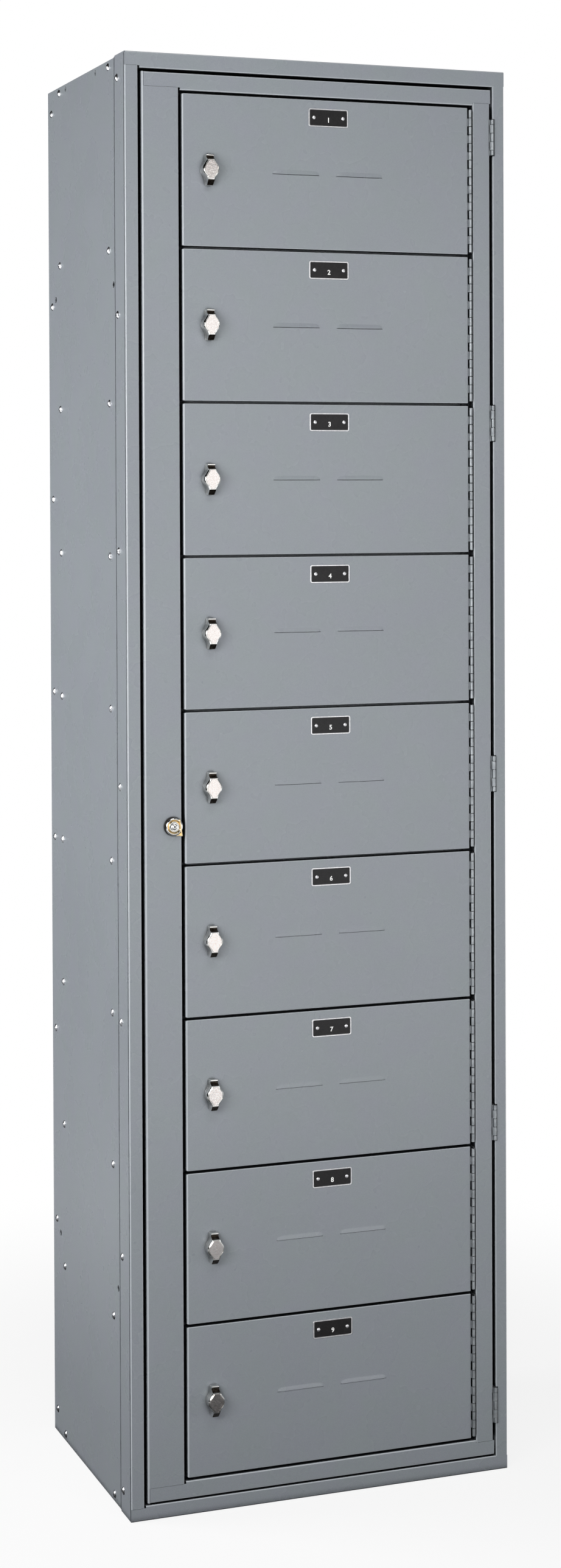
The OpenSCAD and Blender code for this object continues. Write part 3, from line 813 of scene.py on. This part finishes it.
def stacked(loops, marks=None):
    """Closed shape from loops of equal length, each [(x, z), depth]; both ends are filled."""
    n = len(loops[0][0])
    verts = [(x, y, z) for pts, y in loops for x, z in pts]
    rings = [list(range(s * n, s * n + n)) for s in range(len(loops))]
    marks = marks or [0] * (len(loops) - 1)
    face_marks = [mark for mark in marks for _ in range(n)] + [marks[0], marks[-1]]
    return shell(verts, joined(rings) + [rings[0], rings[-1]], face_marks)


def plate():
    """Plate with a bare raised border round its black field."""
    t = plate_t
    loops = [
        (rounded(plate_w, plate_h, plate_r), 0),
        (rounded(plate_w, plate_h, plate_r), -t + 0.2),
        (rounded(plate_w - 0.4, plate_h - 0.4, plate_r - 0.2), -t),
        (rounded(plate_w - 3.4, plate_h - 3.4, plate_r - 1.2), -t),
        (rounded(plate_w - 3.7, plate_h - 3.7, plate_r - 1.3), -t + 0.16),
    ]
    return stacked(loops, [0, 0, 0, 0, 1])


def rivet(x, steps=5, rim=0.25, dome=1.15):
    prof = [(0, 0), (rivet_r, 0), (rivet_r, -rim)]
    for s in range(1, steps + 1):
        a = math.pi / 2 * s / steps
        prof.append((rivet_r * math.cos(a) if s < steps else 0, -rim - dome * math.sin(a)))
    return lathe(prof, 24, x, 0.05 - plate_t)


def digit(text, height):
    """The digit as a slim raised print, upright in the XZ plane about the origin."""
    curve = bpy.data.curves.new("digit", "FONT")
    curve.body = text
    curve.align_x = "CENTER"
    curve.align_y = "CENTER"
    curve.size = height / 0.73
    curve.extrude = 0.05
    curve.offset = 0.035 * height
    curve.resolution_u = 6
    o = linked("digit", curve)
    mesh = evaluated(o)
    bm = bmesh.new()
    bm.from_mesh(mesh)
    bmesh.ops.remove_doubles(bm, verts=bm.verts, dist=1e-4)
    xs = [v.co.x for v in bm.verts]
    ys = [v.co.y for v in bm.verts]
    grow = height / (max(ys) - min(ys))
    shift = Vector((-(max(xs) + min(xs)) / 2, -(max(ys) + min(ys)) / 2, 0))
    bmesh.ops.translate(bm, vec=shift, verts=bm.verts)
    bmesh.ops.scale(bm, vec=(grow * MM, grow * MM, MM), verts=bm.verts)
    bmesh.ops.rotate(bm, matrix=Matrix.Rotation(math.pi / 2, 3, "X"), verts=bm.verts)
    bpy.data.objects.remove(o)
    bpy.data.curves.remove(curve)
    bpy.data.meshes.remove(mesh)
    return bm


for k in tiers:
    plate_x, _, plate_z = centre(f"number_plate_{k}")
    spot = at(plate_x, front, plate_z)
    piece(f"plate_{k}", copies(plate(), [spot]), f"door_{k}", "plate_black", [SILVER, BLACK],
          [f"number_plate_{k}"])
    rivets = add_to(rivet(-rivet_x), rivet(rivet_x))
    piece(f"plate_rivets_{k}", copies(rivets, [spot]), f"door_{k}", "chrome", [SILVER])
    print_spot = spot @ at(0, -plate_field, -digit_drop)
    piece(f"plate_digit_{k}", copies(digit(str(k), digit_h), [print_spot]), f"door_{k}",
          "plate_black", [WHITE], closed=False)

# ---------------- turn handles

def smooth_line(points, x):
    """Cubic interpolation through points sorted by x."""
    n = len(points)
    for i in range(n - 1):
        if x <= points[i + 1][0] or i == n - 2:
            (x0, y0), (x1, y1) = points[i], points[i + 1]
            xa, ya = points[max(i - 1, 0)]
            xb, yb = points[min(i + 2, n - 1)]
            m0 = (y1 - ya) / max(x1 - xa, 1e-6)
            m1 = (yb - y0) / max(xb - x0, 1e-6)
            h = x1 - x0
            t = min(max((x - x0) / h, 0), 1)
            return ((2 * t ** 3 - 3 * t * t + 1) * y0 + (t ** 3 - 2 * t * t + t) * h * m0
                    + (-2 * t ** 3 + 3 * t * t) * y1 + (t ** 3 - t * t) * h * m1)


# half-widths at heights above the axis, of the knob's body with its lugs and of its face
HALF = [(-22.6, 4.2), (-21.8, 4.7), (-17, 5.0), (-14.6, 5.2), (-12, 6.0), (-9.4, 7.4),
        (-6.9, 9.2), (-4.3, 10.9), (-1.8, 11.5), (0.7, 11.6), (3.3, 11.4), (5.9, 10.5),
        (8.4, 8.9), (10.9, 7.3), (13.5, 6.2), (16, 5.8), (20, 5.7), (22.4, 5.5), (22.9, 5.1)]
RIM = [(-14.6, 5.2), (-12, 6.5), (-9.4, 8.2), (-6.9, 10.2), (-4.3, 12.0), (-1.8, 12.7),
       (0.7, 12.85), (3.3, 12.6), (5.9, 11.7), (8.4, 10.0), (10.9, 8.3), (13.5, 6.9), (14.6, 6.4)]
FACE = 14.6
knob_out = 17.0         # from the door's face to the rim of the knob's face


def outline(low, high, inset, steps=34):
    """Closed outline of the knob's body between two heights, moved inwards by inset."""
    pts = []
    for i in range(steps + 1):
        z = low + (high - low) * (0.5 - 0.5 * math.cos(math.pi * i / steps))
        pts.append((max(smooth_line(HALF, z) - inset, 0.6), z))
    return [(-x, z) for x, z in pts] + list(reversed(pts))


def eye(inset, steps=26):
    """Outline of the face, moved inwards; its ends stay close to the ends of the rim."""
    pts = []
    for i in range(steps + 1):
        t = -math.cos(math.pi * i / steps)
        close = min(1.0, (1 - abs(t)) * 14) ** 0.5
        x = (smooth_line(RIM, t * FACE) - inset) * (0.8 + 0.2 * close)
        pts.append((x, t * (FACE - 0.3 * inset)))
    return [(-x, z) for x, z in pts] + list(reversed(pts))


def wedge(points):
    """A cutter run across the whole handle from its outline in (depth, height)."""
    return prism(*([(x, y, z) for y, z in points] for x in (-20, 20)))


def handle_shape():
    """Die-cast knob: two lugs, and a face plate whose bevelled rim surrounds a pebbled field."""
    out = knob_out
    wall = [(-0.2, 0), (-0.6, -0.5), (-0.6, -1.2), (-0.3, -2.2), (0, -3.4), (0, 1.6 - out),
            (0.3, 0.8 - out), (1.2, 0.4 - out)]
    bm = stacked([(outline(HALF[0][0], HALF[-1][0], inset), y) for inset, y in wall])
    shoulder = [(-2, 14.3), (-0.2, 14.3), (0.6, 14.5), (1.5, 14.9), (3.5, 15.7), (5.4, 16.7),
                (7, 17.9), (7.8, 18.8), (7.8, 19.5), (7.3, 20.1), (6.7, 20.5), (6.45, 21),
                (6.45, 22.2), (6.7, 22.8), (7.3, 23.2), (8, 24.5), (-2, 27)]
    slope = [(-2, -14.5), (-0.2, -14.5), (0.7, -14.9), (7.2, -21.7), (7.9, -22.3), (8.4, -24),
             (8.4, -28), (-2, -28)]
    for cutter in (shoulder, slope):
        bm = boolean(bm, wedge([(y - out, z) for y, z in cutter]), "DIFFERENCE")
    # inset and depth of the face plate's loops: bevel, rim, groove, field
    face = [(1.3, 3.4), (0.2, 2.6), (0, 2.3), (0.05, 1.9), (0.4, 1.5), (1.4, 0.5), (1.7, 0.35),
            (1.85, 0.6), (1.9, 1.3), (2.4, 1.3), (2.5, 0.1), (2.8, -0.2), (3.3, -0.25)]
    field = 2
    marks = [0] * (len(face) - 1 - field) + [1] * field
    bm = boolean(bm, stacked([(eye(inset), y - out) for inset, y in face], marks), "UNION")
    bm.normal_update()
    for f in bm.faces:
        c = f.calc_center_median() / MM
        hollow = 15.2 < c.z < 20.35 and -16.2 < c.y < -8.8
        ramp = c.z < -14.6 and -16.8 < c.y < -9.0 and f.normal.y < -0.2
        # faces of the scoop under the top lug and of the lower slope take the dark plating: painted
        # shade
        if (hollow or ramp) and abs(f.normal.x) < 0.5:
            f.material_index = 2
    return bm


handle_mesh = handle_shape()


def handle_rear():
    """Shaft, latch cam with its crimped end and the hexagon nut behind the door."""
    bm = lathe([(0, 0.2), (4.95, 0.2), (4.95, 26.6), (4.3, 27.2), (0, 27.2)], 28)
    add_to(bm, eased(cuboid(-7, 20.5, -41.3, 7, 23, 7), 0.35))
    nut = [(0, 23.05), (8.0, 23.05), (8.5, 23.5), (8.5, 25.8), (8.0, 26.25), (0, 26.25)]
    return add_to(bm, lathe(nut, 6))


rear_mesh = handle_rear()
for k in tiers:
    spot = at(handle_x, front, door_z[k])
    piece(f"handle_{k}_knob", copies(handle_mesh.copy(), [spot]), f"handle_{k}", "chrome",
          [CHROME, CAST, SHADED_PLATING], [f"turn_handle_{k}"], angle=32)
    piece(f"handle_{k}_cam", copies(rear_mesh.copy(), [spot]), f"handle_{k}", "chrome", [ZINC])
handle_mesh.free()
rear_mesh.free()

# ---------------- cylinder lock


def lock_bezel():
    """Domed chrome bezel with a brass cup inside it, and the threaded barrel behind."""
    prof = [(0, 0), (13.8, 0), (14.0, -0.3), (14.0, -2.2)]
    for s in range(0, 9):
        a = math.pi / 2 * s / 8
        prof.append((11.0 + 2.95 * math.cos(a), -2.6 - 5.0 * math.sin(a)))
    prof += [(10.7, -7.5), (10.5, -7.1), (7.9, -4.9), (7.7, -4.8), (7.6, -5.0), (7.5, -6.9),
             (7.3, -7.1), (6.5, -7.1), (6.35, -6.9), (6.35, -2.0), (0, -2.0)]
    # the bezel's foot against the door takes the dark plating: painted shade
    marks = [1 if 10.6 > r > 7.85 and d > -7.2 else 2 if r > 13.2 else 0 for r, d in prof]
    bm = lathe(prof, 72, lock_x, front, lock_z, marks)
    barrel = lathe([(0, 0), (7.95, 0), (7.95, 25.4), (7.3, 26), (0, 26)], 40, lock_x, front, lock_z)
    return add_to(bm, barrel)


def keyway(play, ahead, behind_face):
    """Box of the keyway, grown by play, from ahead of the door's face to behind it."""
    x, z = 0.9 + play, 1.9 + play
    return (lock_x - x, front - ahead, lock_z - z, lock_x + x, front + behind_face, lock_z + z)


def lock_face():
    """Plug face with its raised boss and the keyway cut through it."""
    bm = lathe([(0, 4), (6.25, 4), (6.25, -7.2), (5.9, -7.6), (4.5, -7.7), (4.0, -8.0), (3.8, -8.9),
                (3.3, -9.3), (2.2, -9.4), (0, -9.4)], 56, lock_x, front, lock_z)
    return cut(bm, [keyway(0, 12, 2)])


def lock_tab():
    """The brass tab that stands on edge at the bezel's right, with its web below."""
    rib = [(6.9, 10.4), (8.6, 10.4), (12.2, -13.6), (10.4, -14.0)]
    web = [(3.2, -11.6), (9.8, -9.4), (10.9, -13.8), (3.8, -13.8)]
    bm = bmesh.new()
    for pts, y0, y1 in ((rib, front - 8.6, front), (web, front - 4.4, front)):
        part = prism(*([(lock_x + x, y, lock_z + z) for x, z in pts] for y in (y0, y1)))
        bmesh.ops.recalc_face_normals(part, faces=part.faces)
        add_to(bm, eased(part))
    return bm


piece("lock_tab", lock_tab(), "master_door", "chrome", [BRASS])
piece("lock_bezel", lock_bezel(), "master_door", "chrome", [CHROME, BRASS, SHADED_PLATING],
      ["lock_housing"])
piece("lock_nut", lathe([(0, 1.6), (10.1, 1.6), (10.6, 2.1), (10.6, 5.0), (10.1, 5.5), (0, 5.5)], 6,
                        lock_x, front, lock_z), "master_door", "zinc_steel", [ZINC])
piece("lock_plug_face", lock_face(), "master_lock", "chrome", [CHROME], ["lock_plug"])
# the keyway's inside is a near-black box: painted shade
piece("lock_keyway", cuboid(*keyway(0.05, 8.2, -5.8)), "master_lock", "chrome", [SHADE_BLACK])

# ---------------- hinges


knuckle_l = 12.7
knuckles = 17
knuckle_gap = 0.5       # left open at each end of a knuckle
barrel_r = 2.6


def knuckle(side, reach, thick=1.0, steps=22):
    """A rolled knuckle about Z whose web runs from behind it to the leaf on the given side."""
    r = barrel_r - thick / 2
    leaf = reach - thick / 2
    web = [(leaf, 6.0), (leaf, r + 0.8), (leaf - 0.25, r + 0.22), (leaf - 0.85, r)]
    path = [Vector((side * x, y)) for x, y in web]
    for s in range(steps + 1):
        a = math.pi / 2 + side * math.radians(318) * s / steps
        path.append(Vector((r * math.cos(a), r * math.sin(a))))
    pairs = []
    for i, p in enumerate(path):
        d = (path[min(i + 1, len(path) - 1)] - path[max(i - 1, 0)]).normalized()
        n = Vector((-d.y, d.x)) * thick / 2
        pairs.append((p - n, p + n))
    return swept(pairs, knuckle_gap, knuckle_l - knuckle_gap, "z")


def piano_half(side, first):
    """One leaf of a continuous hinge about its pin, with a knuckle at every other place along it.
    """
    reach = (open_x1 - door_x1) / 2
    x = sorted((side * (reach - 0.02), side * (reach - 1)))
    low = -knuckle_l * knuckles / 2
    bm = cuboid(x[0], 5.8, low, x[1], 15, -low)
    for i in range(first, knuckles, 2):
        z = low + knuckle_l * i
        one = knuckle(side, reach)
        bmesh.ops.translate(one, vec=Vector((0, 0, z)) * MM, verts=one.verts)
        add_to(bm, one)
        if side < 0:
            ear = eased(cuboid(x[0], 1.2, z + knuckle_gap, x[1] + 0.2, 5.9,
                               z + knuckle_l - knuckle_gap))
            for f in ear.faces:
                f.material_index = 1
            add_to(bm, ear)
    return bm


piano_x = (door_x1 + open_x1) / 2
piano_y = centre("piano_hinge_pins")[1]
piano_spots = [at(piano_x, piano_y, door_z[k]) for k in tiers]
for k, spot in zip(tiers, piano_spots):
    piece(f"hinge_door_leaf_{k}", copies(piano_half(-1, 1), [spot]), f"door_{k}", "enamel",
          [HINGE, ENAMEL], [f"hinge_leaf_{k}"])
piece("hinge_stile_leaves", copies(piano_half(1, 0), piano_spots), "master_door", "enamel",
      [HINGE, ENAMEL], ["piano_hinge_leaves"])


def butt_half(side, first, reach):
    """One leaf of a master door hinge about its pin, with rounded knuckle ends."""
    spans = [0, 7.5, 20.5, 33.5, 46.5, 54]
    x = sorted((side * reach, side * (reach - 1.2)))
    low = -butt_h / 2
    bm = cuboid(x[0], 1.6, low, x[1], 20, -low)
    r, c = 2.75, 0.45
    for i in range(first, 5, 2):
        a, b = low + spans[i] + 0.2, low + spans[i + 1] - 0.2
        one = lathe([(1.5, a), (r - c, a), (r - 0.1, a + 0.25), (r, a + c), (r, b - c),
                     (r - 0.1, b - 0.25), (r - c, b), (1.5, b), (1.5, a)], 28)
        bmesh.ops.remove_doubles(one, verts=one.verts, dist=1e-6)
        bmesh.ops.rotate(one, matrix=Matrix.Rotation(math.pi / 2, 3, "X"), verts=one.verts)
        web = sorted((side * 1.6, side * reach))
        web = cuboid(web[0], -0.7, a + 0.1, web[1], 1.7, b - 0.1)
        add_to(bm, boolean(one, web, "UNION") if reach > 2 else one)
    return bm


butt_spots = [at(butt_x, butt_y, z) for z in butt_z]
piece("butt_frame_leaves", copies(butt_half(1, 0, hinge_jamb - butt_x), butt_spots), "cabinet",
      "enamel", [HINGE], ["frame_hinge_leaves"])
piece("butt_door_leaves", copies(butt_half(-1, 1, butt_x - mx1), butt_spots), "master_door",
      "enamel", [HINGE], ["master_hinge_leaves"])

# ---------------- case bolts


frame_bolt_y, frame_bolt_z = 39, 33.5
shelf_bolt_y = 88, 355
back_bolt_y, back_bolt_z, back_bolt_step = 20, 37, 304.8


def bolt():
    """Slotted round head on the plane x = 0, pointing to -X, with the end of its shank inside."""
    r, h = 5.8, 2.8
    dome = (r * r + h * h) / (2 * h)
    prof = [(0, 0), (r - 0.25, 0), (r, -0.25)]
    for s in range(1, 9):
        a = math.asin((r - 0.05) / dome) * (1 - s / 8)
        prof.append((dome * math.sin(a), -h + dome * (1 - math.cos(a))))
    head = lathe(prof, 32)
    head = cut(head, [(-7, -h - 1, -0.65, 7, -h + 1.3, 0.65)])
    shank = lathe([(0, -0.1), (2.4, -0.1), (2.4, 7.0), (1.9, 7.6), (0, 7.6)], 16)
    add_to(head, shank)
    bmesh.ops.rotate(head, matrix=Matrix.Rotation(-math.pi / 2, 3, "Z"), verts=head.verts)
    return head


def bolt_places():
    rng = random.Random(7)
    tier_z = [(doors[k][2] + doors[k + 1][5]) / 2 for k in range(1, 9)]
    spots = [(left, front + frame_bolt_y, frame_bolt_z + (top - 2 * frame_bolt_z) / 6 * k)
             for k in range(7)]
    spots += [(left + frame_t, front + d, z) for z in [11, top - 10.5] + tier_z
              for d in shelf_bolt_y]
    for k in range(4):
        up = back_bolt_z + back_bolt_step * k
        spots += [(left + frame_t, -front - back_bolt_y, z) for z in (up, top - up)]
    places = []
    for x, y, z in spots:
        for side in (1, -1):
            turn = Matrix.Rotation(rng.uniform(0, math.pi), 4, "X")
            place = at(x, y, z, turn)
            places.append(place if side > 0 else MIRROR @ place)
    return places


piece("case_bolt_heads", copies(bolt(), bolt_places()), "cabinet", "zinc_steel", [ZINC],
      ["case_bolts"])

# ---------------- frame joints


# x, y, height and width of a bead behind the frame's wrap, and of one beside its corner
BEADS = [(right - 1.4, wrap_y + 0.05, 1.35, 4.2), (right - 0.1, front + 2.2, 0.22, 3.0)]


def joint_beads():
    """Dark beads down both sides, a little uneven in width: the bead behind the wrap is sealer that
    also stands in for the joint's shadow, and the bead beside the corner is painted shade only.
    """
    rng = random.Random(3)
    bm = bmesh.new()
    n = 60
    for side in (-1, 1):
        for x, y0, high, width in BEADS:
            x0 = side * x
            verts, rings = [], []
            for i in range(n + 1):
                z = 1.5 + (top - 3) * i / n
                w = width + rng.uniform(-0.25, 0.25)
                ring = [(x0, y0), (x0 + side * high, y0), (x0 + side * high, y0 + w * 0.8),
                        (x0 + side * high * 0.6, y0 + w), (x0, y0 + w + 0.4)]
                verts += [(x, y, z) for x, y in ring]
                rings.append(list(range(5 * i, 5 * i + 5)))
            add_to(bm, shell(verts, joined(rings) + [rings[0], rings[-1]]))
    bmesh.ops.recalc_face_normals(bm, faces=bm.faces)
    return bm


piece("frame_joint_beads", joint_beads(), "cabinet", "enamel", [SEALER_AND_SHADE])

# ---------------- CAD parts kept as they are

KEPT = {
    "side_panel_left": ENAMEL, "side_panel_right": ENAMEL, "back_panel": ENAMEL,
    "top_panel": ENAMEL, "bottom_panel": ENAMEL, "shelves": ENAMEL, "master_cross_bars": ENAMEL,
    # the piano hinge pins are near-black: painted shade in the gaps between knuckles
    "case_nuts": ZINC, "master_hinge_pins": ZINC, "piano_hinge_pins": SHADE_BLACK, "lock_cam": ZINC,
}
for name, material in KEPT.items():
    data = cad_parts[name].data
    data.materials.clear()
    data.materials.append(material)

# ---------------- studio


def studio_floor():
    """Pale sheet under the locker: near white to the eye, quiet in the locker's reflections, with
    painted shade in its colour close to the locker.
    """
    m = new_material("studio_floor", Roughness=0.9)
    length = m.add("VectorMath", operation="LENGTH")
    m.put(m.coords["Object"], length.inputs[0])
    away = length.outputs["Value"]
    grain = m.mix(m.ranged(m.noise(1.5, 2), 0, 1), rgb(168, 169, 171), rgb(176, 177, 179))
    # painted shade: the colour is near-black rgb(38, 39, 40) close to the locker and turns to the
    # paler grain further away
    m.shade(Base_Color=m.mix(m.ranged(away, 0, 1, 0.45, 1.9), rgb(38, 39, 40), grain))
    glow = m.add("Emission", in_Color=(1, 1, 1, 1), in_Strength=1.0).outputs[0]
    paper = m.add("BsdfDiffuse", in_Color=(0.8, 0.8, 0.8, 1)).outputs[0]
    seen = m.join(m.ranged(away, 0.14, 0.0, 0.55, 1.6), glow, paper)
    m.show_directly(m.shader.outputs[0], seen, "Material Output")
    r = 9000
    bm = shell([(-r, -r, 0), (r, -r, 0), (r, r, 0), (-r, r, 0)], [(0, 1, 2, 3)])
    mesh = mesh_of(bm, "studio_floor")
    mesh.materials.append(m.owner)
    o = linked("studio_floor", mesh)


def soft_light(name, place, target, width, height, power):
    """A rectangular light in metres and watts, turned to its target."""
    data = bpy.data.lights.new(name, "AREA")
    data.shape = "RECTANGLE"
    data.size, data.size_y = width, height
    data.energy = power
    o = linked(name, data)
    o.location = place
    o.rotation_euler = (Vector(target) - Vector(place)).to_track_quat("-Z", "Y").to_euler()


def studio_world():
    """White behind the locker, in a dim room with a broad bright wall ahead and to the right."""
    wall_glow, room_low, room_high = 0.9, 0.06, 0.07
    scene.world = bpy.data.worlds.new("studio")
    w = Nodes(scene.world)
    room = w.tree.nodes["Background"]
    way = w.coords["Generated"]
    ahead = w.add("VectorMath", operation="DOT_PRODUCT")
    w.put(way, ahead.inputs[0])
    w.put(Vector((0.42, -0.905, 0.05)).normalized(), ahead.inputs[1])
    up = w.apart(way)["Z"]
    height = w.maths("ABSOLUTE", w.maths("SUBTRACT", up, 0.03))
    band = w.ranged(height, 1.0, 0.0, 0.25, 0.43)
    wall = w.maths("MULTIPLY", w.ranged(ahead.outputs["Value"], 0.0, wall_glow, 0.35, 0.95), band)
    rest = w.ranged(up, room_low, room_high, -0.2, 0.7)
    w.put(w.maths("ADD", wall, rest), room.inputs["Strength"])
    plain = w.add("Background", in_Color=(1, 1, 1, 1)).outputs[0]
    w.show_directly(room.outputs[0], plain, "World Output")


def camera():
    """Placed as fitted to the cabinet's corners; the shift only frames the locker."""
    pan, down, roll = -20.385, 0.895, -0.228
    data = bpy.data.cameras.new("camera")
    data.lens = 60.25
    data.sensor_width = 36
    data.shift_y = -0.1571
    data.clip_start, data.clip_end = 0.05, 60
    o = linked("camera", data)
    turn = (Matrix.Rotation(math.radians(pan), 4, "Z")
            @ Matrix.Rotation(math.radians(90 - down), 4, "X")
            @ Matrix.Rotation(math.radians(roll), 4, "Z"))
    o.matrix_world = Matrix.Translation((-1.4128, -3.8400, 1.4903)) @ turn
    scene.camera = o


studio_floor()
studio_world()
soft_light("key", (-2.1, -1.97, 1.62), (-0.05, -0.2, 1.1), 1.5, 1.3, 45)
soft_light("front_fill", (-0.95, -3.2, 0.82), (-0.05, -0.2, 0.65), 1.6, 1.7, 24.5)
soft_light("white_wall", (0.8, -2.35, 1.05), (-0.1, -0.2, 1.05), 1.3, 2.5, 11)
soft_light("left_rear", (-2.4, 0.8, 1.4), (-0.3, 0.0, 1.25), 1.2, 2.0, 58)
soft_light("right_panel", (2.3, -1.3, 0.5), (0.2, -0.2, 0.4), 1.0, 1.2, 12)
soft_light("overhead", (-0.2, -1.9, 3.3), (0, -0.2, 1.8), 1.4, 0.5, 18)
camera()
scene.view_settings.view_transform = "Standard"
